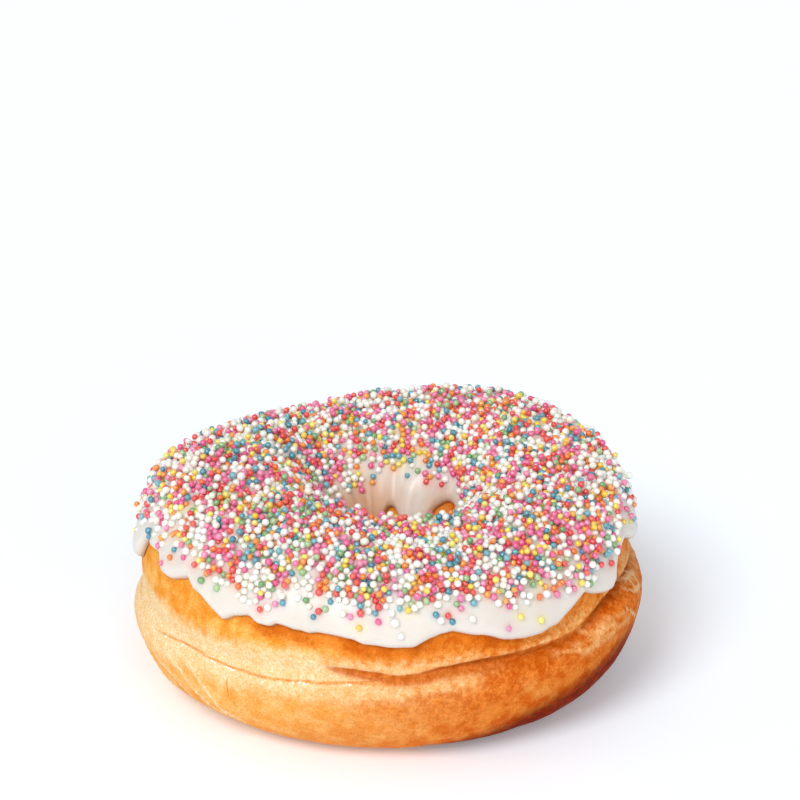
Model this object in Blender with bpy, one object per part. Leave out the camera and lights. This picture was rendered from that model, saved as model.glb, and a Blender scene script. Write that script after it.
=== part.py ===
"""An iced ring doughnut as two solids: the fried dough ring and the icing poured over it.

Blender 4.5, in metres, +Z up. The origin is on the table, under the middle of the ring.
Each solid starts as a torus primitive. Every point of it keeps its angle round the ring, and
its turn round the tube becomes a turn round a section that the functions below work out.
A turn is 0 at the outer crease, a quarter at the crown and a half at the waist of the hole.
"""

import math

import bpy
import numpy as np
from mathutils import Matrix

MM = 0.001

# The dough ring
OUTER_RADIUS = 45.8 * MM
HOLE_RADIUS = 9.8 * MM
CROWN_HEIGHT = 36.3 * MM
WAIST_HEIGHT = 18.0 * MM
SAG = 0.7 * MM  # how far the round underside is pressed flat by its own weight

# The crease left by frying one side and then the other
CREASE_HEIGHT = 18.7 * MM
CREASE_DEPTH = 1.4 * MM
CREASE_WIDTH = 1.9 * MM
UPPER_INSET = 1.5 * MM  # the upper half is this much narrower than the lower one

# How square each quarter of the section is: 2 is an ellipse, more is squarer
OUTER_UPPER, OUTER_LOWER, HOLE_UPPER, HOLE_LOWER = 2.3, 2.4, 2.1, 2.3

# Unevenness round the ring: how many waves, their size, and the angle of a crest in degrees
OUTLINE_WAVES = ((1, 0.5 * MM, 97), (2, 0.25 * MM, 64), (3, 0.4 * MM, 89), (7, 0.12 * MM, 20))
CROWN_WAVES = ((1, 1.1 * MM, 4), (2, 1.5 * MM, 16), (3, 1.1 * MM, 58), (8, 0.15 * MM, 12))
HOLE_WAVES = ((1, 1.5 * MM, 25), (2, 0.7 * MM, -15), (3, 0.4 * MM, 75))
CREASE_WAVES = ((1, 2.6 * MM, 0),)
INSET_WAVES = ((1, 0.6 * MM, 0),)

# Local swellings, or hollows: an angle in degrees, a spread in degrees, and a size
LOWER_SWELLINGS = ((-26, 20, 1.6 * MM),)
CROWN_SWELLINGS = (
    (-125, 32, 2.6 * MM), (-60, 26, -0.9 * MM), (62, 26, -0.8 * MM), (172, 28, 1.3 * MM),
)
CREASE_SWELLINGS = ((-25, 18, 2.2 * MM),)

# The icing
GAP = 0.4 * MM  # between the icing's underside and the dough
ICING_THICKNESS = 1.5 * MM
ICING_SWELL = 0.3 * MM  # extra where it ran down and gathered
ICING_WAVES = ((5, 0.16 * MM, 30), (9, 0.1 * MM, 11))
SPRINKLE_BED = 0.9 * MM  # extra over the top, where the sprinkles lie
BED_START, BED_FULL = 0.12, 0.24  # shares of the section between which the bed rises
LIP = 0.05  # share of the section that the rounded lip takes

# Where the icing ends outside and in the hole: a level, and tongues that run down from it.
# A tongue is its angle, its width before and after that angle, in degrees, and its run.
HEM_HEIGHT = 28.0 * MM
HEM_TONGUES = (
    (-175, 12, 10, 5.6 * MM), (-150, 10, 10, 1.5 * MM), (-128, 12, 12, 2.6 * MM),
    (-118, 8, 8, 1.8 * MM), (-108, 9, 8, 2.8 * MM), (-85, 20, 10, 4.6 * MM),
    (-58, 20, 17, 5.1 * MM), (-29, 13, 13, 4.2 * MM), (2, 14, 16, 3.3 * MM),
    (33, 15, 15, 2.6 * MM), (61, 15, 14, 4.6 * MM), (88, 14, 15, 3.0 * MM),
    (116, 15, 14, 5.0 * MM), (143, 14, 15, 3.2 * MM),
)
HOLE_HEM_HEIGHT = 27.2 * MM
HOLE_HEM_TONGUES = (
    (-165, 28, 28, 4.5 * MM), (-112, 28, 28, 6.0 * MM), (-60, 28, 26, 4.0 * MM),
    (-14, 24, 24, 3.2 * MM), (66, 18, 21, 6.5 * MM), (126, 38, 36, 5.5 * MM),
)
TONGUE_BLEND = 4  # how sharply one tongue takes over from the next; higher is sharper

# Faces: steps round the ring and round the section
DOUGH_STEPS = (80, 30)
ICING_STEPS = (108, 22)
DOUGH_CROWDING = 0.45  # draws the dough's rows of faces towards its crease
ICING_CROWDING = 0.15  # draws the icing's rows towards its two edges
TUBE_SHARE = 0.4  # the torus primitive's tube radius over its ring radius


def waves(angle, table):
    """The sum of a table's waves at an angle in radians."""
    return sum(size * np.cos(count * (angle - math.radians(crest))) for count, size, crest in table)


def turned(angle, towards):
    """How far an angle in radians is past another in degrees, in degrees from -180 to 180."""
    return (np.degrees(angle) - towards + 180) % 360 - 180


def swellings(angle, table):
    """The sum of a table's local swellings at an angle in radians."""
    return sum(size * np.exp(-((turned(angle, at) / spread) ** 2)) for at, spread, size in table)


def power(value, exponent):
    return np.sign(value) * np.abs(value) ** exponent


def smooth_step(share):
    """0 below 0, 1 above 1, and an easy curve between."""
    share = np.clip(share, 0, 1)
    return share * share * (3 - 2 * share)


def crease_height(angle):
    return CREASE_HEIGHT + waves(angle, CREASE_WAVES) + swellings(angle, CREASE_SWELLINGS)


def section_levels(angle):
    """Outer radius, hole radius, crown radius and crown height at an angle."""
    outer = OUTER_RADIUS + waves(angle, OUTLINE_WAVES)
    hole = HOLE_RADIUS + waves(angle, HOLE_WAVES)
    crown = CROWN_HEIGHT + waves(angle, CROWN_WAVES) + swellings(angle, CROWN_SWELLINGS)
    return outer, hole, (outer + hole) / 2, crown


def dough_section(angle, turn):
    """Radius and height of the dough's skin."""
    outer, hole, middle, crown = section_levels(angle)
    across, up = np.cos(turn), np.sin(turn)
    outside, above = across > 0, up > 0
    squareness = np.where(
        outside,
        np.where(above, OUTER_UPPER, OUTER_LOWER),
        np.where(above, HOLE_UPPER, HOLE_LOWER),
    )
    reach = np.where(outside, outer - middle, middle - hole)
    level = np.where(outside, crease_height(angle), WAIST_HEIGHT)
    rise = np.where(above, crown - level, level + SAG)
    radius = middle + reach * power(across, 2 / squareness)
    height = level + rise * power(up, 2 / squareness)

    over_crease = height - crease_height(angle)
    pinch = CREASE_DEPTH * np.exp(-((over_crease / CREASE_WIDTH) ** 2))
    upper = 1 / (1 + np.exp(-over_crease / MM))
    inset = (UPPER_INSET + waves(angle, INSET_WAVES)) * upper
    swell = swellings(angle, LOWER_SWELLINGS) * (1 - upper)
    outward = np.clip(across, 0, 1) ** 2
    return radius + (swell - pinch - inset) * outward, np.maximum(height, 0)


def off_dough(angle, turn, lift):
    """Radius and height of a point that is lifted off the dough's skin, square to its section."""
    step = 0.01
    radius, height = dough_section(angle, turn)
    before, after = dough_section(angle, turn - step), dough_section(angle, turn + step)
    along, rise = after[0] - before[0], after[1] - before[1]
    length = np.hypot(along, rise)
    return radius + lift * rise / length, height - lift * along / length


def hem_height(angle, level, tongues):
    """Height of an edge of the icing: a level, less the tongues that run down there."""
    total = 0
    for middle, before, after, run in tongues:
        past = turned(angle, middle)
        share = past / np.where(past < 0, before, after)
        total = total + (run * np.clip(1 - share**2, 0, 1)) ** TONGUE_BLEND
    return level - total ** (1 / TONGUE_BLEND)


def turn_at_height(angle, height, level, squareness):
    """The turn, from crease to crown, at which the section passes a height above its level."""
    crown = section_levels(angle)[3]
    share = np.clip((height - level) / (crown - level), 0, 1)
    return np.arcsin(share ** (squareness / 2))


def icing_section(angle, turn):
    """Radius and height of the icing: out over its top from hem to hole, and back underneath."""
    hem = hem_height(angle, HEM_HEIGHT, HEM_TONGUES)
    hole_hem = hem_height(angle, HOLE_HEM_HEIGHT, HOLE_HEM_TONGUES)
    first = turn_at_height(angle, hem, crease_height(angle), OUTER_UPPER)
    last = math.pi - turn_at_height(angle, hole_hem, WAIST_HEIGHT, HOLE_UPPER)
    share = np.abs(turn) / math.pi
    share = share - ICING_CROWDING * np.sin(2 * math.pi * share) / (2 * math.pi)

    from_edge = np.minimum(share, 1 - share)
    lip = np.sqrt(1 - (1 - np.clip(from_edge / LIP, 0, 1)) ** 2)
    swell = ICING_SWELL * np.exp(-((share / BED_START) ** 2))
    bed = SPRINKLE_BED * smooth_step((from_edge - BED_START) / (BED_FULL - BED_START))
    thickness = (ICING_THICKNESS + swell + bed + waves(angle, ICING_WAVES)) * lip
    lift = GAP + np.where(turn > 0, thickness, 0)
    return off_dough(angle, first + (last - first) * share, lift)


def crowded(turn):
    return turn - DOUGH_CROWDING * np.sin(turn)


def ring(name, steps, section, material):
    """A torus primitive with its points moved onto a section."""
    major_radius = (OUTER_RADIUS + HOLE_RADIUS) / 2
    bpy.ops.mesh.primitive_torus_add(
        major_segments=steps[0], minor_segments=steps[1],
        major_radius=major_radius, minor_radius=TUBE_SHARE * major_radius,
    )
    piece = bpy.context.object
    piece.name = piece.data.name = name
    points = np.empty(len(piece.data.vertices) * 3)
    piece.data.vertices.foreach_get("co", points)
    x, y, z = points.reshape(-1, 3).T
    angle = np.arctan2(y, x)
    # Rounding keeps the two tips of the icing's section at a turn of exactly 0 and pi.
    turn = np.round(np.arctan2(z, np.hypot(x, y) - major_radius), 5)
    radius, height = section(angle, turn)
    moved = np.column_stack((radius * np.cos(angle), radius * np.sin(angle), height))
    piece.data.vertices.foreach_set("co", moved.ravel())
    piece.data.materials.append(material)
    piece.data.shade_smooth()
    return piece


def centre(pieces):
    """Move the pieces' points together, so that the middle of their outline is over the origin."""
    corners = np.array([corner for piece in pieces for corner in piece.bound_box])
    middle = (corners.min(axis=0) + corners.max(axis=0)) / 2
    for piece in pieces:
        piece.data.transform(Matrix.Translation((-middle[0], -middle[1], 0)))


def painted(name, colour, roughness):
    material = bpy.data.materials.new(name)
    material.use_nodes = True
    shader = material.node_tree.nodes["Principled BSDF"]
    shader.inputs["Base Color"].default_value = (*colour, 1)
    shader.inputs["Roughness"].default_value = roughness
    shader.inputs["Metallic"].default_value = 0
    return material


def build():
    for old in list(bpy.data.objects):
        bpy.data.objects.remove(old)
    collection = bpy.data.collections.new("iced_doughnut")
    bpy.context.scene.collection.children.link(collection)
    pieces = (
        ring("dough_ring", DOUGH_STEPS, lambda angle, turn: dough_section(angle, crowded(turn)),
             painted("fried_dough", (0.72, 0.34, 0.08), 0.55)),
        ring("icing", ICING_STEPS, icing_section,
             painted("white_icing", (0.90, 0.86, 0.80), 0.35)),
    )
    for piece in pieces:
        for holder in list(piece.users_collection):
            holder.objects.unlink(piece)
        collection.objects.link(piece)
    bpy.context.view_layer.update()
    centre(pieces)


build()
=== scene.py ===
# %% [markdown]
# # A frosted ring doughnut with sugar sprinkles
# The real thing is a ring of yeast dough, fried on one side and then on the other, dipped
# upside down in white icing and then in tiny sugar balls. This lesson dresses the packed
# model of it: the dough gets its fold and its fried colours, the icing runs down in tongues,
# and a few thousand balls are scattered, pushed apart and heaped as real ones settle.

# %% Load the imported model
import math

import bpy
import numpy as np
from mathutils import Matrix, Vector, kdtree, noise


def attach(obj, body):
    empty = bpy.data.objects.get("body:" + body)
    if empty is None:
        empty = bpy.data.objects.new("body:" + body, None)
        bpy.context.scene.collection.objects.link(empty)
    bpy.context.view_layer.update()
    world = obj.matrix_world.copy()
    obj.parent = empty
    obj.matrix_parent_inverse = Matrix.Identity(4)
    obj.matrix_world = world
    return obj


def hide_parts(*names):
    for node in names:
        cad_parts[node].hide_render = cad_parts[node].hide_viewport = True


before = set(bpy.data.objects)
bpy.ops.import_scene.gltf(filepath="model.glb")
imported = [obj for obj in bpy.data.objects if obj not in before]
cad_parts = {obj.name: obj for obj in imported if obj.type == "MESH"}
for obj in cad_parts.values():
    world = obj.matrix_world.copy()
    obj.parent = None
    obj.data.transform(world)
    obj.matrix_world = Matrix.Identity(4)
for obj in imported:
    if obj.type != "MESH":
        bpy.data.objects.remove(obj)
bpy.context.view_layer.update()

MM = 0.001

# %% [markdown]
# ## The camera
# A product picture of food is taken from a little above the table with a long lens, which
# keeps a round thing from looking swollen in front. The camera stands 62 cm away and looks
# down by 26.5 degrees. It is turned up a little from the doughnut, which is why the
# doughnut lies in the lower half of the view.

# %% Camera
RING_MIDDLE = Vector((-0.07 * MM, -0.82 * MM, 0))  # the ring's centre of curvature in the model
LOOK_AT = RING_MIDDLE + Vector((0, 0, 18 * MM))
CAMERA_DISTANCE = 620 * MM
CAMERA_HEIGHT_ANGLE = math.radians(26.5)
AIM_UP, AIM_RIGHT = math.radians(2.777), math.radians(0.234)
LENS = 154.0

camera = bpy.data.objects.new("camera", bpy.data.cameras.new("camera"))
bpy.context.scene.collection.objects.link(camera)
camera.location = LOOK_AT + CAMERA_DISTANCE * Vector(
    (0, -math.cos(CAMERA_HEIGHT_ANGLE), math.sin(CAMERA_HEIGHT_ANGLE))
)
pitch = AIM_UP - CAMERA_HEIGHT_ANGLE
gaze = Vector((math.sin(AIM_RIGHT) * math.cos(pitch), math.cos(pitch), math.sin(pitch)))
camera.rotation_euler = gaze.to_track_quat("-Z", "Y").to_euler()
camera.data.lens = LENS
camera.data.clip_start = 10 * MM
bpy.context.scene.camera = camera

# %% [markdown]
# ## Colours and nodes
# Colours are written as sRGB hex values, as a colour picker shows them. Blender's shaders
# want linear light, so one function converts. A second function adds a shader node with its
# settings and its links in one call, which keeps each material readable from top to bottom.

# %% Colour and node helpers
def linear(colour):
    """An sRGB hex colour as linear red, green, blue and alpha."""
    parts = [int(colour[at:at + 2], 16) / 255 for at in (1, 3, 5)]
    return (*[part / 12.92 if part < 0.04 else ((part + 0.055) / 1.055) ** 2.4 for part in parts], 1)


def add(tree, kind, inputs=None, **settings):
    """A new node. An input is given a value, or the output socket that feeds it."""
    node = tree.nodes.new(kind)
    for name, value in settings.items():
        setattr(node, name, value)
    for name, value in (inputs or {}).items():
        if isinstance(value, bpy.types.NodeSocket):
            tree.links.new(value, node.inputs[name])
        else:
            node.inputs[name].default_value = value
    return node


def new_material(name):
    """An empty Principled material, with its tree and its shader."""
    material = bpy.data.materials.new(name)
    material.use_nodes = True
    return material, material.node_tree, material.node_tree.nodes["Principled BSDF"]


# %% [markdown]
# ## The ring's section
# A doughnut is a torus whose section isn't a circle. Each point of a torus has an angle
# round the ring and a turn round the tube: 0 at the outer fold, a quarter at the crown, a
# half at the waist of the hole. Functions turn these two numbers into a radius and a height.
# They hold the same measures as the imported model, so that what is made here fits it.

# %% Small shape helpers
def waves(angle, table):
    """The sum of waves round the ring: how many, their size, and the angle of a crest."""
    return sum(size * np.cos(count * (angle - math.radians(crest))) for count, size, crest in table)


def turned(angle, towards):
    """How far an angle in radians is past another in degrees, in degrees from -180 to 180."""
    return (np.degrees(angle) - towards + 180) % 360 - 180


def swellings(angle, table):
    """The sum of local swellings: an angle, a spread in degrees, and a size."""
    return sum(size * np.exp(-((turned(angle, at) / spread) ** 2)) for at, spread, size in table)


def power(value, exponent):
    return np.sign(value) * np.abs(value) ** exponent


def smooth_step(share):
    """0 below 0, 1 above 1, and an easy curve between."""
    share = np.clip(share, 0, 1)
    return share * share * (3 - 2 * share)


def noise_at(x, y, z=0.0):
    """Smooth noise from about -1 to 1, where one step of x, y or z is about one lump."""
    x, y, z = np.broadcast_arrays(x, y, z)
    values = [noise.noise((a, b, c)) for a, b, c in zip(x.ravel(), y.ravel(), z.ravel())]
    return np.array(values).reshape(x.shape)


def noise_round(angle, height, size, seed=0.0):
    """Noise on the ring's side whose lumps are about one size across, with no seam."""
    reach = 44 * MM / size
    return noise_at(reach * np.cos(angle) + seed, reach * np.sin(angle) - seed, height / size)


# %% Lines round the ring
LINE_ANGLES = np.arange(-180, 180.01, 0.25)


def line_round(table, ripples=(), rounding=0.5):
    """A height at every angle, from a table of angles in degrees and heights in mm.

    The corners are rounded over some degrees, and ripples add unevenness: each has a size
    and a length in mm.
    """
    angles, heights = zip(*table)
    values = np.interp(LINE_ANGLES, angles, heights) * MM
    offsets = np.arange(-12, 13)
    weights = np.exp(-((offsets * 0.25 / rounding) ** 2))
    ring = values[:-1]
    smooth = sum(w * np.roll(ring, o) for w, o in zip(weights, offsets)) / weights.sum()
    for number, (size, length) in enumerate(ripples):
        smooth = smooth + size * MM * noise_round(
            np.radians(LINE_ANGLES[:-1]), 0.0, length * MM, 4.0 + 3 * number)
    return np.append(smooth, smooth[0])


def along_line(line, angle):
    """The height of a line at any angles in radians."""
    return np.interp(turned(angle, 0), LINE_ANGLES, line)


# %% The dough's section
OUTER_RADIUS, HOLE_RADIUS = 45.8 * MM, 9.8 * MM
CROWN_HEIGHT, WAIST_HEIGHT, SAG = 36.3 * MM, 18.0 * MM, 0.7 * MM
CREASE_HEIGHT, UPPER_INSET = 18.7 * MM, 1.5 * MM
VALLEY_DEPTH, VALLEY_WIDTH = 1.1 * MM, 2.4 * MM
OUTER_UPPER, OUTER_LOWER, HOLE_UPPER, HOLE_LOWER = 2.3, 2.4, 2.1, 2.3
OUTLINE_WAVES = ((1, 0.5 * MM, 97), (2, 0.25 * MM, 64), (3, 0.4 * MM, 89), (7, 0.12 * MM, 20))
CROWN_WAVES = ((1, 1.1 * MM, 4), (2, 1.5 * MM, 16), (3, 1.1 * MM, 58), (8, 0.15 * MM, 12))
HOLE_WAVES = ((1, 1.5 * MM, 25), (2, 0.7 * MM, -15), (3, 0.4 * MM, 75))
CREASE_WAVES, INSET_WAVES = ((1, 2.6 * MM, 0),), ((1, 0.6 * MM, 0),)
INSET_SWELLINGS = ((-172, 18, 0.7 * MM),)
LOWER_SWELLINGS = ((-26, 20, 1.6 * MM), (-44, 13, 0.8 * MM), (-172, 22, 0.35 * MM))
CROWN_SWELLINGS = (
    (-125, 32, 2.6 * MM), (-60, 26, -0.9 * MM), (62, 26, -0.8 * MM), (172, 28, 0.9 * MM),
)
CREASE_SWELLINGS = ((-25, 18, 2.2 * MM),)
# Beside the hole the ring was pinched when it was shaped: a short valley, steep in front.
PINCH_ANGLE, PINCH_DEPTH, PINCH_FROM, PINCH_TO = 168, 4.7 * MM, 25 * MM, 15 * MM


def crease_height(angle):
    return CREASE_HEIGHT + waves(angle, CREASE_WAVES) + swellings(angle, CREASE_SWELLINGS)


def section_levels(angle):
    """Outer radius, hole radius, crown radius and crown height at an angle."""
    outer = OUTER_RADIUS + waves(angle, OUTLINE_WAVES)
    hole = HOLE_RADIUS + waves(angle, HOLE_WAVES)
    crown = CROWN_HEIGHT + waves(angle, CROWN_WAVES) + swellings(angle, CROWN_SWELLINGS)
    return outer, hole, (outer + hole) / 2, crown


def dough_section(angle, turn):
    """Radius and height of the dough's skin, with a soft valley where the fold will be."""
    outer, hole, middle, crown = section_levels(angle)
    across, up = np.cos(turn), np.sin(turn)
    outside, above = across > 0, up > 0
    squareness = np.where(
        outside,
        np.where(above, OUTER_UPPER, OUTER_LOWER),
        np.where(above, HOLE_UPPER, HOLE_LOWER),
    )
    reach = np.where(outside, outer - middle, middle - hole)
    level = np.where(outside, crease_height(angle), WAIST_HEIGHT)
    rise = np.where(above, crown - level, level + SAG)
    radius = middle + reach * power(across, 2 / squareness)
    height = level + rise * power(up, 2 / squareness)

    over_crease = height - crease_height(angle)
    valley = VALLEY_DEPTH * np.exp(-((over_crease / VALLEY_WIDTH) ** 2))
    upper = 1 / (1 + np.exp(-over_crease / MM))
    inset = UPPER_INSET + waves(angle, INSET_WAVES) + swellings(angle, INSET_SWELLINGS)
    inset = inset * upper * smooth_step((crown - height) / (9 * MM))
    swell = swellings(angle, LOWER_SWELLINGS) * (1 - upper)
    outward = np.clip(across, 0, 1) ** 2

    past = turned(angle, PINCH_ANGLE)
    pinch = np.exp(-((past / np.where(past > 0, 6, 24)) ** 2))
    pinch = pinch * smooth_step((PINCH_FROM - radius) / (PINCH_FROM - PINCH_TO))
    pinch = pinch * smooth_step((height - WAIST_HEIGHT) / (12 * MM))
    return radius + (swell - valley - inset) * outward, height - PINCH_DEPTH * pinch


def off_dough(angle, turn, lift):
    """Radius and height of a point lifted off the dough's skin, square to its section."""
    step = 0.01
    radius, height = dough_section(angle, turn)
    before, after = dough_section(angle, turn - step), dough_section(angle, turn + step)
    along, rise = after[0] - before[0], after[1] - before[1]
    length = np.hypot(along, rise)
    return radius + lift * rise / length, height - lift * along / length


# %% [markdown]
# ## A torus whose points are moved
# The dough and the icing both start as Blender's torus. Its points know nothing of ring or
# tube, but their places give both numbers back: the angle from x and y, and the turn from
# how far a point is from the tube's middle. Each point is then sent where a function says.
# The rows of faces can be crowded towards a place that needs them, such as the fold.

# %% A shaped torus
TUBE_SHARE = 0.4
ring_radius = (OUTER_RADIUS + HOLE_RADIUS) / 2


def place(angle, radius, height):
    """Points in the model's frame from their angle, radius and height."""
    return np.column_stack((
        RING_MIDDLE.x + radius * np.cos(angle), RING_MIDDLE.y + radius * np.sin(angle), height,
    ))


def torus_piece(name, round_steps, tube_steps):
    """A torus primitive, and the angle and turn of each of its points."""
    bpy.ops.object.select_all(action="DESELECT")
    bpy.ops.mesh.primitive_torus_add(
        major_segments=round_steps, minor_segments=tube_steps,
        major_radius=ring_radius, minor_radius=TUBE_SHARE * ring_radius,
    )
    piece = bpy.context.object
    piece.name = piece.data.name = name
    points = np.empty(len(piece.data.vertices) * 3)
    piece.data.vertices.foreach_get("co", points)
    x, y, z = points.reshape(-1, 3).T
    angle = np.arctan2(y, x)
    turn = np.round(np.arctan2(z, np.hypot(x, y) - ring_radius), 5)
    return piece, angle, turn


def move_points(piece, points):
    piece.data.vertices.foreach_set("co", points.ravel())
    piece.data.shade_smooth()
    piece.data.update()


def keep_on_points(piece, name, values):
    """A number for each point, which a material can read by its name."""
    layer = piece.data.attributes.new(name, "FLOAT", "POINT")
    layer.data.foreach_set("value", np.asarray(values, dtype=np.float32))


# %% [markdown]
# ## The fold round the dough
# The first side fries and sets while the other is still soft. Turned over, the soft half
# swells over the set one, and a fold is left, with a pale band beside it that the oil never
# covered. On the right the upper half hangs over as a lip. On the left the fold is only a
# fine line. In front the two lines pass each other, so they are made as two folds.

# %% The two lines of the fold
FOLD_LEFT = line_round((
    (-180, 15.7), (-166, 15.2), (-154, 15.3), (-146, 16.3), (-140, 16.8), (-128, 16.5),
    (-119, 16.3), (-109, 16.9), (-100, 17.5), (-94, 17.8), (-84, 18.0), (180, 15.7),
), ripples=((0.14, 5), (0.1, 1.6)), rounding=1.5)
FOLD_RIGHT = line_round((
    (-180, 15.7), (-106, 20.2), (-99, 19.7), (-93, 19.2), (-88, 18.6), (-83, 18.7), (-78, 19.6),
    (-70, 20.0), (-60, 20.0), (-48, 20.2), (-42, 20.9), (-37, 22.1), (-32, 23.1), (-24, 24.2),
    (-13, 23.2), (0, 21.9), (22, 21.3), (45, 20.6), (66, 19.9), (90, 18.7), (118, 17.8),
    (140, 16.6), (162, 16.4), (180, 15.7),
), ripples=((0.16, 5), (0.12, 1.6)), rounding=1.5)


def fold_strengths(angle):
    """How much of each line there is: they take over from each other in front and behind."""
    degrees = turned(angle, 0)
    left = smooth_step((-83 - degrees) / 9) * (1 - swellings(angle, ((-163, 11, 0.75),)))
    right = smooth_step((degrees + 107) / 9) * smooth_step((181 - degrees) / 6)
    return left, right


def hang_of_lip(angle):
    """How far the upper half hangs over, from 0 to 1: least on the left, most on the right."""
    return 0.12 + 0.88 * smooth_step((turned(angle, -40) + 62) / 50) * smooth_step(
        (175 - turned(angle, -40)) / 70)


# %% [markdown]
# ## Wrinkles
# Where the dough was stretched by hand it dried in fine ridges and cracks. Each one is a
# line of a few points on the ring's side, and the skin rises or sinks by how near it is.
# The ridges' crests are painted pale as well: a painted highlight.

# %% The wrinkles' lines
# Points are an angle in degrees and a height in mm. Then come a height and a width in mm.
WRINKLES = (
    (((-158, 13.5), (-152, 10.6), (-146, 9.6), (-141, 6.0), (-136, 3.5)), 0.3, 0.5),
    (((-151, 14.6), (-147, 13.2), (-142, 12.3), (-138.5, 9.4), (-134, 5.5), (-129, 3.2)), 0.36, 0.5),
    (((-146, 15.2), (-141, 14.4), (-137, 13.4), (-133, 9.7), (-130.5, 6.0), (-126.5, 3.6)), 0.38, 0.48),
    (((-163, 12.2), (-157, 9.6), (-152, 6.6), (-147, 4.2)), 0.24, 0.55),
    (((-134, 8.5), (-129, 6.2), (-124, 3.4)), 0.22, 0.5),
    (((-128.3, 16.4), (-127.4, 13.6), (-127.2, 11.0), (-125.4, 8.0), (-122.8, 4.2)), -0.04, 0.45),
    (((-126.2, 16.2), (-125.4, 12.6)), 0.16, 0.5),
    (((-99, 12.0), (-96, 9.0), (-95, 6.0)), -0.05, 0.5),
    (((-29.5, 21.2), (-27.6, 19.4), (-24.6, 17.6), (-23.4, 15.2)), -0.22, 0.5),
    (((-27.9, 21.2), (-25.8, 19.3), (-22.9, 17.5), (-21.6, 15.0)), 0.26, 0.5),
    (((-24.5, 25.6), (-20.0, 23.0), (-15.0, 22.2), (-9.0, 21.0)), 0.22, 0.45),
    (((-25.0, 23.4), (-20.5, 20.9), (-16.0, 20.4), (-12.0, 18.5)), 0.2, 0.45),
    (((-21.5, 26.6), (-19.5, 24.0), (-17.6, 20.0), (-17.0, 16.0)), 0.2, 0.4),
    (((-15.5, 25.5), (-14.0, 21.0), (-13.2, 17.0)), 0.2, 0.45),
    (((-9.0, 23.5), (-6.0, 19.5), (-5.0, 15.0)), 0.14, 0.5),
    (((4.0, 20.0), (9.0, 16.0), (12.0, 11.0), (17.0, 7.0)), 0.13, 0.5),
    (((9.0, 20.4), (14.0, 16.4), (18.0, 11.4)), 0.13, 0.5),
    (((38, 19.0), (41, 15.0), (40.5, 11.0)), -0.2, 0.5),
    (((71, 17.6), (75, 13.5), (80, 9.5), (83, 5.5)), 0.12, 0.6),
    (((78, 17.2), (82, 13.0), (88, 9.0)), 0.1, 0.6),
    (((112, 16.2), (116, 12.2), (117, 8.2), (121, 4.6)), 0.13, 0.6),
    (((119, 15.6), (122, 12.0), (124, 8.0)), -0.2, 0.55),
    (((147, 14.6), (152, 11.0), (156, 7.2), (162, 4.0)), 0.13, 0.6),
    (((154, 14.4), (159, 10.8), (164, 6.6)), 0.12, 0.6),
    (((170, 14.0), (176, 10.4), (181, 6.4)), 0.12, 0.6),
)


def wrinkles(angle, height):
    """How far the skin rises at ridges and sinks at cracks, and how near each of them is.

    The nearness is 1 on the line and falls with the square of the distance, which stays
    even between points, so that the material can draw lines finer than the faces.
    """
    total = np.zeros_like(height)
    on_ridge, on_crack = np.full_like(height, -1.0), np.full_like(height, -1.0)
    for points, size, width in WRINKLES:
        middle = points[len(points) // 2][0]
        across = np.radians(turned(angle, middle)) * OUTER_RADIUS / MM
        near = np.flatnonzero((np.abs(across) < 16) & (height < 30 * MM))
        here = np.column_stack((across[near], height[near] / MM))
        corners = np.array([(math.radians(a - middle) * OUTER_RADIUS / MM, z) for a, z in points])
        best, progress = np.full(len(near), 99.0), np.zeros(len(near))
        for number, (start, end) in enumerate(zip(corners, corners[1:])):
            along = end - start
            share = np.clip((here - start) @ along / (along @ along), 0, 1)
            gap = np.linalg.norm(here - start - share[:, None] * along, axis=1)
            progress = np.where(gap < best, number + share, progress)
            best = np.minimum(best, gap)
        progress = progress / (len(corners) - 1)
        taper = smooth_step((progress + 0.02) / 0.25) * smooth_step((1.02 - progress) / 0.3)
        total[near] += size * MM * np.exp(-((best / width) ** 2)) * taper
        marked = on_ridge if size > 0 else on_crack
        boldness = min(1, size / 0.36) if size > 0 else 1
        marked[near] = np.maximum(marked[near], (1 - (best / 0.6) ** 2) * taper * boldness)
    return total, on_ridge, on_crack


# %% Shape the dough
DOUGH_STEPS = (700, 140)
DOUGH_CROWDING = 0.76
FRONT_CROWDING = 0.35  # columns crowd towards the front, where the finest marks are


def broad_lumps(angle, height):
    return 0.3 * MM * noise_round(angle, height, 13 * MM, 1.0)


dough, dough_angle, dough_turn = torus_piece("fried_dough_ring", *DOUGH_STEPS)
dough_turn = dough_turn - DOUGH_CROWDING * np.sin(dough_turn)
dough_angle = dough_angle - FRONT_CROWDING * np.cos(dough_angle)
_, height = dough_section(dough_angle, dough_turn)
fold_left, fold_right = along_line(FOLD_LEFT, dough_angle), along_line(FOLD_RIGHT, dough_angle)
left_strength, right_strength = fold_strengths(dough_angle)
hang = hang_of_lip(dough_angle)
outside = smooth_step(np.cos(dough_turn) / 0.4)

lift = broad_lumps(dough_angle, height) + 0.12 * MM * noise_round(dough_angle, height, 4 * MM, 2.0)
lift = lift + 0.05 * MM * noise_round(dough_angle, height, 1.5 * MM, 3.0)
groove, rim = np.zeros_like(height), np.zeros_like(height)
for line, strength, size in (
    (fold_left, left_strength, hang), (fold_right, right_strength, hang),
):
    over = (height - line) / MM
    depth = 0.05 + 0.85 * size
    cut = depth * np.exp(-((over / np.where(over > 0, 0.2, 0.28 + 0.25 * size)) ** 2))
    tuck = 0.4 * size * np.exp(-((over / 1.8) ** 2)) * smooth_step((0.25 - over) / 0.5)
    edge = (0.12 + 0.42 * size) * np.exp(-(((over - 0.75 - 0.3 * size) / (0.5 + 0.4 * size)) ** 2))
    groove = np.maximum(groove, strength * (cut + tuck))
    rim = np.maximum(rim, strength * edge)
ridges, on_ridge, on_crack = wrinkles(dough_angle, height)
dough_radius, dough_height = off_dough(
    dough_angle, dough_turn, lift + ((rim - groove) * MM + ridges) * outside)
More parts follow.
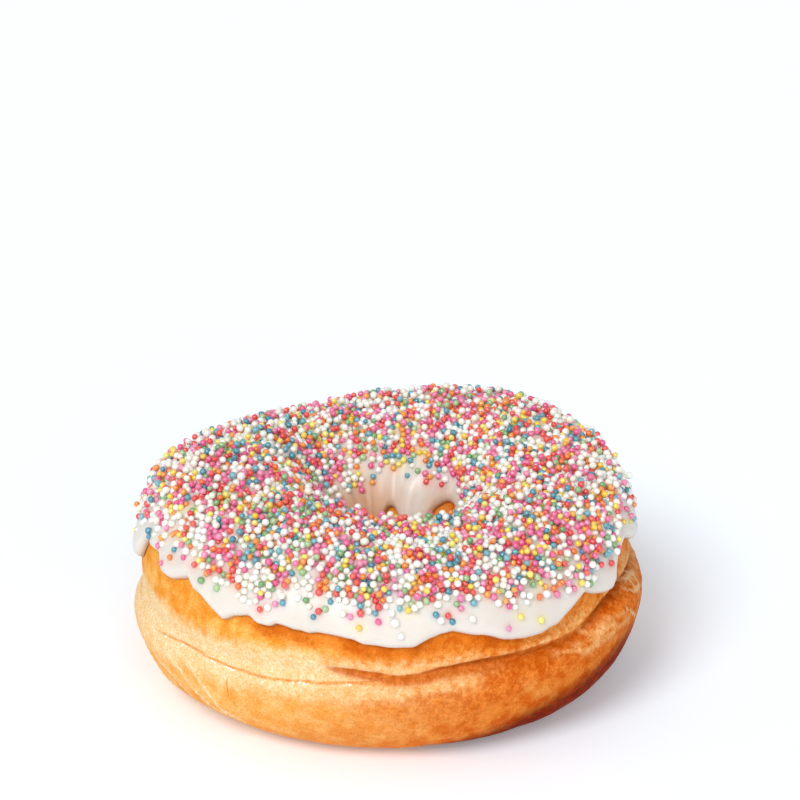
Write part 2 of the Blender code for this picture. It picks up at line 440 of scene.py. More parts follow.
dough_height = dough_height - 0.7 * rim * MM * outside * hang
dough_height = np.maximum(dough_height, 0)
move_points(dough, place(dough_angle, dough_radius, dough_height))
print("dough:", len(dough.data.polygons), "faces")

# %% Where the icing will end
HEM = line_round((
    (-180, 23.0), (-175, 22.4), (-171.5, 22.8), (-169.5, 24.6), (-167, 28.2), (-164.5, 29.2),
    (-162, 28.2), (-158, 28.7), (-154.8, 28.6), (-152.5, 26.9), (-148, 26.9), (-145, 27.9),
    (-141.2, 29.0), (-139.6, 27.6), (-136, 27.3), (-133, 26.3), (-130, 25.4), (-128.4, 24.9),
    (-126.4, 26.1), (-122.5, 26.9), (-120, 25.8), (-117, 25.7), (-115.5, 26.5), (-112, 26.1),
    (-108, 25.7), (-106, 26.1), (-101, 25.7), (-97.3, 25.3), (-95.6, 24.7), (-93.8, 24.6),
    (-90, 24.2), (-84.5, 24.1), (-82, 25.0), (-78, 25.9), (-75.5, 26.2), (-72, 25.5),
    (-68, 24.8), (-64, 23.5), (-60, 22.9), (-56, 22.6), (-53, 22.8), (-51, 23.3), (-49.5, 23.0),
    (-47, 24.2), (-43, 25.6), (-39.8, 26.8), (-37.3, 25.7), (-33.3, 24.7), (-30.5, 24.3),
    (-29.5, 25.4), (-28.2, 27.4), (-24, 29.2), (-17, 29.8), (-12, 27.6), (-6, 25.6), (2, 24.8),
    (10, 25.6), (18, 27.8), (25, 26.4), (34, 25.3), (42, 26.4), (47, 27.4), (52.5, 24.9),
    (61, 23.4), (69, 24.3), (74.5, 27.0), (80, 25.6), (88, 24.9), (96, 26.0), (101, 27.4),
    (107, 24.4), (115, 23.0), (123, 23.6), (129.5, 26.8), (135, 25.4), (143, 24.8),
    (151, 25.6), (157, 27.6), (163, 28.0), (168, 26.6), (174, 24.2), (180, 23.0),
), ripples=((0.16, 3.2), (0.12, 1.4)), rounding=0.6)

# %% Keep the marks for the crust's colours
PALE_TOP = line_round((
    (-180, 21.0), (-160, 21.2), (-146, 21.2), (-136, 21.1), (-127, 21.4), (-119, 21.6),
    (-110, 21.9), (-101, 21.6), (-92, 21.1), (-83, 20.8), (-73, 21.0), (-64, 20.9), (-53, 21.0),
    (-47, 21.7), (-37, 22.9), (-28, 24.4), (-18, 25.4), (-8, 24.2), (10, 23.0), (40, 22.6),
    (90, 21.6), (130, 21.4), (160, 21.0), (180, 21.0),
), ripples=((0.5, 7), (0.25, 2.5)), rounding=2.0)
PALE_BOTTOM = line_round((
    (-180, 12.2), (-157, 12.3), (-146, 13.4), (-135, 14.3), (-124, 14.3), (-109, 14.9),
    (-100, 15.0), (-92, 14.8), (-87, 15.4), (-81, 16.2), (-74, 16.9), (-67, 17.9), (-58, 19.4),
    (-50, 20.6), (-43, 21.6), (-37, 22.2), (-28, 23.3), (-20, 22.8), (-12, 21.4), (0, 19.2),
    (40, 17.2), (90, 15.5), (130, 14.0), (160, 12.6), (180, 12.2),
), ripples=((0.5, 8), (0.3, 3)), rounding=2.0)
# Below this line the crust is painted very dark: partly scorched where it lay deepest in the
# oil, partly painted shade on the underside that faces away from the light.
SCORCHED_AND_SHADE_TOP = line_round((
    (-180, -8), (-110, -6), (-90, -1.5), (-76, 1.6), (-62, 5.2), (-50, 9.8), (-40, 12.4),
    (-30, 14.4), (-22, 15.4), (-8, 12.5), (10, 8.6), (40, 5.2), (90, 2.2), (140, -3.0), (180, -8),
), ripples=((0.8, 9),), rounding=3.0)
# Painted highlights along the fold, white glints where beads of syrup and fat shine: where, in
# degrees, and how far each way.
GLINTS = ((-156, 2.6), (-150, 1.6), (-142.5, 2.4), (-132, 2.8), (-127, 2.4), (-110, 4.4), (-99, 1.6))

over_fold, over_lip = (dough_height - fold_left) / MM, (dough_height - fold_right) / MM
keep_on_points(dough, "over_band", (dough_height - along_line(PALE_TOP, dough_angle)) / MM)
keep_on_points(dough, "under_band", (along_line(PALE_BOTTOM, dough_angle) - dough_height) / MM)
keep_on_points(dough, "ridges", on_ridge * outside)
keep_on_points(dough, "cracks", on_crack * outside)
keep_on_points(dough, "groove", groove * outside)
clusters = sum(np.exp(-((turned(dough_angle, at) / half) ** 2)) for at, half in GLINTS)
keep_on_points(dough, "glints", np.clip(clusters, 0, 1) * np.exp(-(((over_fold + 0.4) / 0.35) ** 2)))
browned = smooth_step((turned(dough_angle, -50) + 78) / 72) * smooth_step(
    (150 - turned(dough_angle, -50)) / 90)
keep_on_points(dough, "browned", browned)
keep_on_points(dough, "scorched_and_shade", smooth_step(
    (along_line(SCORCHED_AND_SHADE_TOP, dough_angle) - dough_height) / (9 * MM) + 0.5))
# Painted shade: the crust is painted darker in the shade under the hanging lip, and close
# under the icing, where it is partly the icing's shade and partly deeper browning.
painted_lip_shade = np.exp(-((np.clip(-over_lip, 0, None) / (0.9 + 1.5 * hang)) ** 2))
keep_on_points(dough, "painted_lip_shade", painted_lip_shade * smooth_step((0.7 - over_lip) / 0.9) * right_strength * (
    0.35 + 0.65 * smooth_step((56 - np.abs(turned(dough_angle, -89))) / 14)))
# Painted shade close under the icing's lip, partly deeper browning; left out on the lit left.
under_hem = (along_line(HEM, dough_angle) - dough_height) / MM
keep_on_points(dough, "under_hem", np.exp(-((np.clip(under_hem, 0, None) / 2.2) ** 2)) * smooth_step(
    (turned(dough_angle, -130) + 4) / 24) * smooth_step((-52 - turned(dough_angle, 0)) / 16))
# Thin wisps of pale flour along the bulge under the lip, drawn out along the ring.
wisp_lines = noise_at(dough_angle * 14, dough_height / (0.8 * MM) + 9 * dough_angle, 7.0)
wisp_place = np.exp(-((turned(dough_angle, -37) / 11) ** 2)) * np.exp(
    -(((dough_height / MM - 18.4) / 2.2) ** 2))
keep_on_points(dough, "wisps", wisp_place * (0.45 + 0.9 * wisp_lines))

# %% [markdown]
# ## The icing
# The icing is dipped on, so it is a thin shell: thickest where it ran down and gathered,
# round at its lip, and cut in tongues by how it flowed. It starts as a torus too. Half of
# the torus becomes the top, from the lip to the hole, and half the underside.

# %% The icing's edges
HOLE_HEM = line_round((
    (-180, 20.4), (-165, 22.4), (-140, 22.4), (-112, 21.2), (-85, 23.6), (-60, 23.2),
    (-36, 26.0), (-14, 24.0), (0, 25.2), (7, 27.0), (15, 28.1), (26, 28.0), (34, 27.2),
    (42, 25.6), (48, 23.2), (56, 21.2), (66, 20.7), (75, 21.6), (80, 23.4), (84, 24.4),
    (88, 24.6), (92.5, 23.6), (98, 22.0), (115, 21.0), (135, 20.4), (160, 20.0), (180, 20.4),
), ripples=((0.15, 2.5),), rounding=1.5)


def turn_at_height(angle, height, level, squareness):
    """The turn, from fold to crown, at which the section passes a height above its level."""
    crown = section_levels(angle)[3]
    share = np.clip((height - level) / (crown - level), 0, 1)
    return np.arcsin(share ** (squareness / 2))


def icing_span(angle):
    """The turns at which the icing starts outside and ends in the hole."""
    first = turn_at_height(angle, along_line(HEM, angle), crease_height(angle), OUTER_UPPER)
    last = turn_at_height(angle, along_line(HOLE_HEM, angle), WAIST_HEIGHT, HOLE_UPPER)
    return first, math.pi - last


# %% The icing's thickness
GAP = 0.2 * MM
ICING_THICKNESS = 1.35 * MM
ICING_SWELL = 0.3 * MM
LIP = 0.04
# Runs that stand proud near the lip: an angle, a half width in degrees and a size in mm.
RUNS = (
    (-174, 4.0, 0.35), (-160, 3.0, 0.3), (-150.5, 2.4, 0.35), (-143.5, 2.0, 0.25),
    (-135, 3.0, 0.3), (-128.5, 2.6, 0.45), (-118, 3.0, 0.3), (-108, 3.0, 0.2), (-95.5, 3.0, 0.3),
    (-85, 6.0, 0.25), (-64, 5.0, 0.25), (-56, 4.0, 0.25), (-31, 4.0, 0.4), (2, 5.0, 0.35),
    (34, 5.0, 0.3), (61, 5.0, 0.4), (88, 5.0, 0.3), (116, 5.0, 0.4), (144, 4.0, 0.35),
)
DRIP_ANGLE, DRIP_WIDTH, DRIP_SIZE = 69, 8, 0.9 * MM  # the one thick run inside the hole


def icing_thickness(angle, share):
    """Thickness of the icing from its outer lip, share 0, to its lip in the hole, share 1."""
    ends = np.minimum(share, 1 - share)
    lip = np.sqrt(1 - (1 - np.clip(ends / LIP, 0, 1)) ** 2)
    low = np.exp(-((share / 0.13) ** 2))
    runs = sum(size * MM * np.exp(-((turned(angle, at) / width) ** 2)) for at, width, size in RUNS)
    drip = DRIP_SIZE * np.exp(-((turned(angle, DRIP_ANGLE) / DRIP_WIDTH) ** 2))
    drip = drip * smooth_step((share - 0.78) / 0.1)
    lumps = 0.2 * MM * noise_at(9 * np.cos(angle), 9 * np.sin(angle), 4 * share)
    lumps = lumps + 0.1 * MM * noise_at(22 * np.cos(angle), 22 * np.sin(angle), 9 * share)
    return (ICING_THICKNESS + (ICING_SWELL + runs) * low + lumps + drip) * lip


def icing_skin(angle, share, top=1.0):
    """Radius and height of the icing's top, or of its underside where top is 0."""
    first, last = icing_span(angle)
    turn = first + (last - first) * share
    lumps = broad_lumps(angle, dough_section(angle, turn)[1])
    return off_dough(angle, turn, GAP + lumps + top * icing_thickness(angle, share))


# %% Shape the icing
ICING_STEPS = (600, 160)
ICING_CROWDING = 0.5

icing, icing_angle, icing_turn = torus_piece("white_icing", *ICING_STEPS)
icing_angle = icing_angle - FRONT_CROWDING * np.cos(icing_angle)
share = np.abs(icing_turn) / math.pi
share = share - ICING_CROWDING * np.sin(2 * math.pi * share) / (2 * math.pi)
icing_radius, icing_height = icing_skin(icing_angle, share, np.where(icing_turn > 0, 1.0, 0.0))
icing_points = place(icing_angle, icing_radius, icing_height)
move_points(icing, icing_points)
# In the hole the icing is painted a warm brown, apart from the thick run: partly the dough
# showing through thin icing, partly painted shade deep in the hole.
in_hole = smooth_step((share - 0.62) / 0.12)
thin_and_shaded = in_hole * smooth_step((32.5 * MM - icing_height) / (6.5 * MM))
keep_on_points(icing, "thin_and_shaded", thin_and_shaded * (
    1 - np.exp(-((turned(icing_angle, DRIP_ANGLE - 7) / 22) ** 2))))
print("icing:", len(icing.data.polygons), "faces")

# %% [markdown]
# ## Where the sprinkles lie
# The balls are sugar, 1 to 1.5 mm across. The wet icing is pressed into a tray of them, so
# they lie ball to ball on top, thin out down the side, and leave the running edge bare but
# for a few strays. The density is a function of place, and each ball is a random draw.

# %% How dense the sprinkles are
SEED = 11
rng = np.random.default_rng(SEED)
SECTION_LENGTH = 52.0  # mm of icing from lip to lip
# Below this line on the outside, and below the second one in the hole, there are only strays.
DENSE_EDGE = line_round((
    (-180, 31.0), (-169, 33.0), (-161, 33.9), (-154, 33.9), (-148, 33.4), (-141, 32.7),
    (-136, 32.3), (-131, 30.8), (-126, 31.6), (-114, 31.2), (-110, 33.0), (-104, 31.0), (-99, 31.8), (-92, 31.4),
    (-87, 30.5), (-82, 31.8), (-75, 32.0), (-68, 31.0), (-64, 30.0), (-58, 31.8), (-51, 31.6),
    (-43, 29.8), (-35, 30.0), (-29, 31.4), (-25, 32.0), (-22, 34.8), (-14, 35.4), (-4, 34.0),
    (8, 32.4), (20, 31.4), (50, 30.4),
    (80, 31.4), (110, 30.2), (140, 31.2), (165, 30.6), (180, 30.0),
), ripples=((0.6, 7), (0.5, 3)), rounding=1.0)
HOLE_EDGE = line_round((
    (-180, 28.6), (-150, 29.6), (-90, 30.0), (-30, 30.8), (3, 31.0), (24, 30.6), (40, 30.0),
    (54, 30.8), (67, 31.6), (80, 31.0), (92, 30.0), (104, 28.4), (115, 27.4), (125, 27.4),
    (135, 28.2), (150, 27.6), (168, 26.8), (180, 28.6),
), ripples=((0.8, 4),), rounding=2.0)


def sprinkle_density(angle, share):
    """From 0, bare, to 1, ball to ball."""
    height = icing_skin(angle, share)[1]
    outside = share < 0.5
    up = (height - along_line(DENSE_EDGE, angle)) / MM
    up = up + 0.7 * noise_at(13 * np.cos(angle), 13 * np.sin(angle), height / (3 * MM))
    out_of_hole = (height - along_line(HOLE_EDGE, angle)) / MM
    out_of_hole = out_of_hole + 1.2 * noise_at(
        8 * np.cos(angle), 8 * np.sin(angle), 5 + height / (3 * MM))
    dense = np.where(
        outside, smooth_step((up + 0.6) / 1.8),
        0.6 * smooth_step((out_of_hole + 0.6) / 1.4) + 0.4 * smooth_step((out_of_hole - 1) / 3),
    )
    from_lip = share * SECTION_LENGTH
    strays = (0.085 + 0.36 * np.exp(-(np.clip(-up, 0, None) / 1.7) ** 2)) * outside
    strays = strays * smooth_step((from_lip - 1.0) / 2.0)
    gaps = smooth_step((noise_at(6 * np.cos(angle), 6 * np.sin(angle), 3 + 7 * share) - 0.2) / 0.2)
    return np.maximum(dense * (1 - 0.25 * gaps), strays)


def surface(angle, share):
    """Points of the icing's top, and the directions square to it."""
    step = 1e-3
    here = place(angle, *icing_skin(angle, share))
    round_it = place(angle + step, *icing_skin(angle + step, share)) - here
    over_it = place(angle, *icing_skin(angle, share + step)) - here
    normal = np.cross(round_it, over_it)
    area = np.linalg.norm(normal, axis=1)
    normal = normal / area[:, None]
    return here, normal, round_it / step, over_it / step, area / step**2


# %% Draw the first layer
KINDS = (
    # name, share of all balls, mean width in mm
    ("white", 0.37, 1.30), ("pink", 0.205, 1.18), ("orange", 0.10, 1.15), ("red", 0.095, 1.15),
    ("blue", 0.085, 1.18), ("yellow", 0.08, 1.15), ("green", 0.065, 1.15),
)
COVER = 0.82  # share of the dense area that the first layer's balls cover
DRAWS = 40000


def draw_kinds(angle, share):
    """A kind for each place. Each kind is commoner in some patches than in others."""
    weights = [
        kind[1] * np.exp(1.5 * noise_at(9 * np.cos(angle), 9 * np.sin(angle), 9 * share + 20 * number))
        for number, kind in enumerate(KINDS)
    ]
    steps = np.cumsum(weights, axis=0)
    return (rng.uniform(0, 1, len(angle)) * steps[-1] > steps).sum(axis=0)


draw_angle = rng.uniform(-math.pi, math.pi, DRAWS)
draw_share = rng.uniform(0.0, 1.0, DRAWS)
draw_area = surface(draw_angle, draw_share)[4]
draw_density = sprinkle_density(draw_angle, draw_share)
covered_area = np.mean(draw_area * draw_density) * 2 * math.pi
mean_ball_area = math.pi * (0.61 * MM) ** 2
first_count = int(COVER * covered_area / mean_ball_area)
weight = draw_area * draw_density
chosen = rng.choice(DRAWS, first_count, replace=False, p=weight / weight.sum())
ball_angle, ball_share = draw_angle[chosen], draw_share[chosen]
ball_kind = draw_kinds(ball_angle, ball_share)
ball_radius = np.array([kind[2] for kind in KINDS])[ball_kind] / 2 * MM
ball_radius = ball_radius * np.clip(rng.normal(1, 0.08, first_count), 0.82, 1.2)
print(f"covered area {covered_area * 1e6:.0f} mm2, first layer {first_count} balls")

# %% [markdown]
# ## Ball to ball
# Balls drawn at random overlap. As in a shaken tray, every pair that overlaps is pushed
# apart along the icing, a little at a time, until they only touch. A k-d tree finds which
# balls are near each other, and is made again every few rounds, because they move.

# %% Push the first layer apart
ROUNDS, ROUNDS_PER_TREE = 36, 6


def near_pairs(points, reach):
    tree = kdtree.KDTree(len(points))
    for index, point in enumerate(points):
        tree.insert(point, index)
    tree.balance()
    pairs = [
        (index, other) for index, point in enumerate(points)
        for _, other, _ in tree.find_range(point, reach) if other > index
    ]
    return np.array(pairs).T


for round_number in range(ROUNDS):
    spot, normal, round_it, over_it, _ = surface(ball_angle, ball_share)
    centre = spot + normal * (0.6 * ball_radius)[:, None]
    if round_number % ROUNDS_PER_TREE == 0:
        one, other = near_pairs(centre, 1.9 * MM)
    apart = centre[one] - centre[other]
    distance = np.linalg.norm(apart, axis=1)
    overlap = ball_radius[one] + ball_radius[other] - distance
    push = np.clip(overlap, 0, None) / np.maximum(distance, 1e-9) * 0.45
    shove = np.zeros_like(centre)
    np.add.at(shove, one, apart * push[:, None])
    np.add.at(shove, other, -apart * push[:, None])
    ball_angle = ball_angle + np.sum(shove * round_it, axis=1) / np.sum(round_it**2, axis=1)
    ball_share = ball_share + np.sum(shove * over_it, axis=1) / np.sum(over_it**2, axis=1)
    ball_share = np.clip(ball_share, 0.02, 0.97)
ball_angle = (ball_angle + math.pi) % (2 * math.pi) - math.pi
print(f"largest overlap left {overlap.max() / MM:.2f} mm, mean {np.clip(overlap, 0, None).mean() / MM:.3f} mm")

# %% Sink them in the icing
spot, normal, *_ = surface(ball_angle, ball_share)
stands = rng.uniform(0.15, 0.6, first_count)
alone = sprinkle_density(ball_angle, ball_share) < 0.16
drowned = alone & (rng.uniform(0, 1, first_count) < 0.2)
stands = np.where(drowned, rng.uniform(-0.45, 0.1, first_count), stands)
centre = spot + normal * (stands * ball_radius)[:, None]
print(f"{alone.sum()} strays, {drowned.sum()} of them drowned")

# %% [markdown]
# ## Heaps
# More balls fall on the first layer and roll into the pockets between others. For each one
# a few places close together are tried, the lowest resting height wins, and it is kept.
# The height at which a ball touches a neighbour follows from Pythagoras' theorem.

# %% Drop the second layer
CELL = 1.6 * MM
TRIES = 7
HEAP_SHARE = 0.34
HEAP_HEIGHT = 1.42 * MM  # centres of the highest balls above the icing

balls = list(zip(centre, ball_radius, ball_kind))
grid = {}


def cell_of(point):
    return tuple(np.floor(point / CELL).astype(int))


def remember(index):
    grid.setdefault(cell_of(balls[index][0]), []).append(index)


def neighbours(point):
    at = cell_of(point)
    found = []
    for x in (-1, 0, 1):
        for y in (-1, 0, 1):
            for z in (-1, 0, 1):
                found += grid.get((at[0] + x, at[1] + y, at[2] + z), [])
    return found


for index in range(len(balls)):
    remember(index)

heap_weight = 0.65 + 1.2 * noise_at(
    7 * np.cos(draw_angle), 7 * np.sin(draw_angle), 5 + 8 * draw_share)
heap_weight = draw_area * np.clip(draw_density - 0.5, 0, None) * np.clip(heap_weight, 0.05, None)
heap_weight = heap_weight * (1 - 0.8 * smooth_step((draw_share - 0.58) / 0.1))  # few at the hole
heap_draws = rng.choice(
    DRAWS, int(HEAP_SHARE * first_count), replace=False, p=heap_weight / heap_weight.sum())
heap_kinds = draw_kinds(draw_angle[heap_draws], draw_share[heap_draws])
added = 0
for draw, kind in zip(heap_draws, heap_kinds):
    radius = KINDS[kind][2] / 2 * MM * np.clip(rng.normal(1, 0.08), 0.82, 1.2)
    tries_angle = draw_angle[draw] + rng.normal(0, 0.02, TRIES)
    tries_share = np.clip(draw_share[draw] + rng.normal(0, 0.012, TRIES), 0.02, 0.98)
    spots, normals, *_ = surface(tries_angle, tries_share)
    best = None
    for spot_here, normal_here in zip(spots, normals):
        near = neighbours(spot_here + normal_here * 0.9 * MM)
        height = 0.6 * radius
        if near:
            towards = np.array([balls[n][0] for n in near]) - spot_here
            reach = radius + np.array([balls[n][1] for n in near])
            along = towards @ normal_here
            beside = np.sum(towards**2, axis=1) - along**2
            touching = beside < reach**2
            if touching.any():
                rest = along[touching] + np.sqrt(reach[touching] ** 2 - beside[touching])
                height = max(height, rest.max())
        if best is None or height < best[0]:
            best = (height, spot_here + normal_here * height)
    if best[0] < HEAP_HEIGHT:
        balls.append((best[1], radius, kind))
        remember(len(balls) - 1)
        added += 1
print("second layer", added, "balls, in all", len(balls))

# %% [markdown]
# ## One piece for each colour
# A ball is modelled once, from an icosphere with 80 faces, which is plenty for something
# 1.2 mm across. Each colour's balls are copies of it, turned at random, joined in one mesh,
# and each ball carries a number of its own, so that no two have quite the same shade.

# %% Model one ball
bpy.ops.object.select_all(action="DESELECT")
bpy.ops.mesh.primitive_ico_sphere_add(subdivisions=2, radius=1)
model_ball = bpy.context.object
ball_points = np.array([vertex.co for vertex in model_ball.data.vertices])
ball_faces = np.array([face.vertices[:] for face in model_ball.data.polygons])
bpy.data.objects.remove(model_ball)

# %% Join the balls of each colour
def random_turns(count):
    """Rotation matrices spread evenly over all directions, from random quaternions."""
    w, x, y, z = (lambda q: q / np.linalg.norm(q, axis=0))(rng.normal(size=(4, count)))
    return np.array([
        [1 - 2 * (y * y + z * z), 2 * (x * y - z * w), 2 * (x * z + y * w)],
        [2 * (x * y + z * w), 1 - 2 * (x * x + z * z), 2 * (y * z - x * w)],
        [2 * (x * z - y * w), 2 * (y * z + x * w), 1 - 2 * (x * x + y * y)],
    ]).transpose(2, 0, 1)


def joined_balls(name, centres, radii):
    count = len(centres)
    stretch = rng.normal(1, 0.03, (count, 1, 3))
    shapes = (ball_points[None] * stretch) @ random_turns(count).transpose(0, 2, 1)
    points = centres[:, None] + shapes * radii[:, None, None]
    faces = ball_faces[None] + (np.arange(count) * len(ball_points))[:, None, None]
    mesh = bpy.data.meshes.new(name)
    mesh.from_pydata(points.reshape(-1, 3).tolist(), [], faces.reshape(-1, 3).tolist())
    mesh.shade_smooth()
    piece = bpy.data.objects.new(name, mesh)
    bpy.context.scene.collection.objects.link(piece)
    keep_on_points(piece, "own_shade", np.repeat(rng.uniform(0, 1, count), len(ball_points)))
    return piece


sprinkles = {}
all_centres = np.array([ball[0] for ball in balls])
all_radii = np.array([ball[1] for ball in balls])
all_kinds = np.array([ball[2] for ball in balls])
for kind, (name, _, _) in enumerate(KINDS):
    mine = all_kinds == kind
    sprinkles[name] = joined_balls(f"{name}_sprinkles", all_centres[mine], all_radii[mine])
    print(name, int(mine.sum()), "balls,", int(mine.sum()) * len(ball_faces), "triangles")

# %% [markdown]
# ## What a sprinkle is made of
# These are nonpareils: grains of sugar tumbled in coloured syrup until they are round, and
# polished with confectioner's glaze. To the eye that is a milky, slightly translucent body
# under a clear skin, so the shader has some scattering and a thin coat. Every ball's own
# number picks a shade between the palest and the deepest of its colour.

# %% Sprinkle materials
SPRINKLE_COLOURS = {  # the palest and the deepest shade
    "white": ("#FFFCF6", "#FAF0DF"),
    "pink": ("#F698BA", "#E24C8B"),
    "orange": ("#FCAA44", "#F57014"),
    "red": ("#F2625A", "#E03034"),
    "blue": ("#7ABAC5", "#2B87A1"),
    "yellow": ("#FFE97E", "#FFC520"),
    "green": ("#B2CE9E", "#6BA468"),
}
SUGAR_IOR, GLAZE_IOR = 1.54, 1.5

for name, piece in sprinkles.items():
    pale, deep = SPRINKLE_COLOURS[name]
    material, tree, shader = new_material(f"{name}_glazed_sugar")
    own = add(tree, "ShaderNodeAttribute", attribute_name="own_shade")
    shade = add(tree, "ShaderNodeMix", {
        "Factor": own.outputs["Fac"], 6: linear(pale), 7: linear(deep)}, data_type="RGBA")
    tree.links.new(shade.outputs[2], shader.inputs["Base Color"])
    shader.inputs["IOR"].default_value = SUGAR_IOR
    shader.inputs["Roughness"].default_value = 0.26
    shader.inputs["Specular IOR Level"].default_value = 0.8  # polished
    shader.inputs["Subsurface Weight"].default_value = 0.8
    shader.inputs["Subsurface Radius"].default_value = (1.0, 0.7, 0.5)
    shader.inputs["Subsurface Scale"].default_value = 1.0 * MM
    shader.inputs["Coat Weight"].default_value = 1.0
    shader.inputs["Coat Roughness"].default_value = 0.12
    shader.inputs["Coat IOR"].default_value = GLAZE_IOR
    piece.data.materials.append(material)

# %% [markdown]
# ## Dye and bounced colour in the icing
# Wet icing draws a little dye out of the sprinkles, which leaves a faint pink and orange
# blush around them; the tint also stands for the balls' colour bouncing into the shade between
# them, a painted reflection. Each coloured ball of the first layer tints the icing's points
# near it, less the further off they are, and the tint is kept as a colour on the points.

# %% Blush round the sprinkles
BLUSH_REACH, BLUSH_SPREAD = 2.4 * MM, 1.1 * MM

icing_tree = kdtree.KDTree(len(icing_points))
for index, point in enumerate(icing_points):
    icing_tree.insert(point, index)
icing_tree.balance()
dye_and_bounce = np.zeros((len(icing_points), 3))
dose = np.zeros(len(icing_points))
for centre_here, radius, kind in balls[:first_count]:
    name = KINDS[kind][0]
    if name == "white":
        continue
    found = icing_tree.find_range(centre_here, BLUSH_REACH)
    at = [index for _, index, _ in found]
    strength = np.exp(-((np.array([gap for _, _, gap in found]) / BLUSH_SPREAD) ** 2))
    strength = strength * {"blue": 0.35, "green": 0.35, "pink": 0.7}.get(name, 1.0)
    pale, deep = (np.array(linear(colour)[:3]) for colour in SPRINKLE_COLOURS[name])
    dye_and_bounce[at] += strength[:, None] * (0.75 * pale + 0.25 * deep)
    dose[at] += strength
dye_and_bounce = dye_and_bounce / np.maximum(dose, 1e-6)[:, None]
dye_and_bounce_tint = icing.data.color_attributes.new("dye_and_bounce_tint", "FLOAT_COLOR", "POINT")
dye_and_bounce_tint.data.foreach_set("color", np.column_stack(
    (dye_and_bounce, 1 - np.exp(-1.1 * dose))).astype(np.float32).ravel())

# %% [markdown]
# ## Set sugar icing
# Icing is fine sugar crystals in syrup. It scatters light inside, which makes its shadows
# soft and warm, and its skin dries to a satin gloss with faint ripples. Low in the hole it is
# painted warm brown: partly the dough coming through thin icing, partly painted shade.

# %% Icing material
ICING_RIPPLE = 2.6 * MM
material, tree, shader = new_material("set_sugar_icing")
dye_and_bounce_tint = add(tree, "ShaderNodeAttribute", attribute_name="dye_and_bounce_tint")
thin_and_shaded_node = add(tree, "ShaderNodeAttribute", attribute_name="thin_and_shaded")
space = add(tree, "ShaderNodeTexCoord").outputs["Object"]
clouds = add(tree, "ShaderNodeTexNoise", {"Vector": space, "Scale": 1 / (9 * MM), "Detail": 2.0})
white = add(tree, "ShaderNodeMix", {
    "Factor": clouds.outputs["Fac"], 6: linear("#E8E2DA"), 7: linear("#DFD6CC"),
}, data_type="RGBA")
# The tint is partly dye and partly painted bounce light in the shade between the balls.
amount = add(tree, "ShaderNodeMath", {0: dye_and_bounce_tint.outputs["Alpha"], 1: 0.42}, operation="MULTIPLY")
blushed = add(tree, "ShaderNodeMix", {
    "Factor": amount.outputs[0], 6: white.outputs[2], 7: dye_and_bounce_tint.outputs["Color"],
}, data_type="RGBA")
# Warm brown low in the hole: partly dough through thin icing, partly painted shade.
hole_tint_share = add(tree, "ShaderNodeMath", {0: thin_and_shaded_node.outputs["Fac"], 1: 0.72}, operation="MULTIPLY")
shown = add(tree, "ShaderNodeMix", {
    "Factor": hole_tint_share.outputs[0], 6: blushed.outputs[2], 7: linear("#C98A50"),
}, data_type="RGBA")
tree.links.new(shown.outputs[2], shader.inputs["Base Color"])
shader.inputs["Roughness"].default_value = 0.34
shader.inputs["IOR"].default_value = 1.49
shader.inputs["Subsurface Weight"].default_value = 0.6
shader.inputs["Subsurface Radius"].default_value = (1.0, 0.75, 0.55)
shader.inputs["Subsurface Scale"].default_value = 1.8 * MM
ripple = add(tree, "ShaderNodeTexNoise", {
    "Vector": space, "Scale": 1 / ICING_RIPPLE, "Detail": 2.0})
bump = add(tree, "ShaderNodeBump", {
    "Height": ripple.outputs["Fac"], "Strength": 0.3, "Distance": 0.15 * MM})
tree.links.new(bump.outputs[0], shader.inputs["Normal"])
icing.data.materials.append(material)

# %% [markdown]
# ## Fried dough
# The crust is golden above, a deeper orange below, and pale in a band along the fold that
# stood clear of the oil. The bands' edges are ragged, because the oil crept up unevenly, and
# the whole crust is mottled by fine blisters. One side of this ring fried darker than the
# other. The marks kept on the points say where a point is, and noise makes the edges ragged.
# Some layers are painted light: shade under the lip, in the fold and under the icing, the darkest shade on the
# underside, white glints along the fold and pale highlights on ridges.

# %% Grain of the crust
material, tree, shader = new_material("fried_yeast_dough")
space = add(tree, "ShaderNodeTexCoord").outputs["Object"]
marks = {
    name: add(tree, "ShaderNodeAttribute", attribute_name=name).outputs["Fac"]
    for name in ("over_band", "under_band", "ridges", "cracks", "groove", "painted_lip_shade", "under_hem",
                 "glints", "browned", "scorched_and_shade", "wisps")
}
for name, length, detail, coarseness in (  # length in mm
    ("patches", 9.0, 2.0, 0.5), ("blotches", 3.0, 3.0, 0.55), ("mottling", 1.2, 4.0, 0.65),
    ("blisters", 0.5, 3.0, 0.7), ("specks", 0.42, 1.0, 0.5), ("pores", 0.28, 1.0, 0.5),
):
    marks[name] = add(tree, "ShaderNodeTexNoise", {
        "Vector": space, "Scale": 1 / (length * MM), "Detail": detail, "Roughness": coarseness,
    }).outputs["Fac"]

# %% Ragged edges
# The bands' edges are moved up or down by noise of three sizes, in mm.
shift = -3.1
for name, size in (("blotches", 2.6), ("mottling", 2.2), ("blisters", 1.4)):
    shift = add(tree, "ShaderNodeMath", {0: marks[name], 1: size, 2: shift},
                operation="MULTIPLY_ADD").outputs[0]
for name in ("over_band", "under_band"):
    marks[name] = add(tree, "ShaderNodeMath", {0: marks[name], 1: shift},
                      operation="ADD").outputs[0]
marks["painted_glint"] = add(tree, "ShaderNodeMath", {0: marks["glints"], 1: marks["specks"]},
                   operation="MULTIPLY").outputs[0]

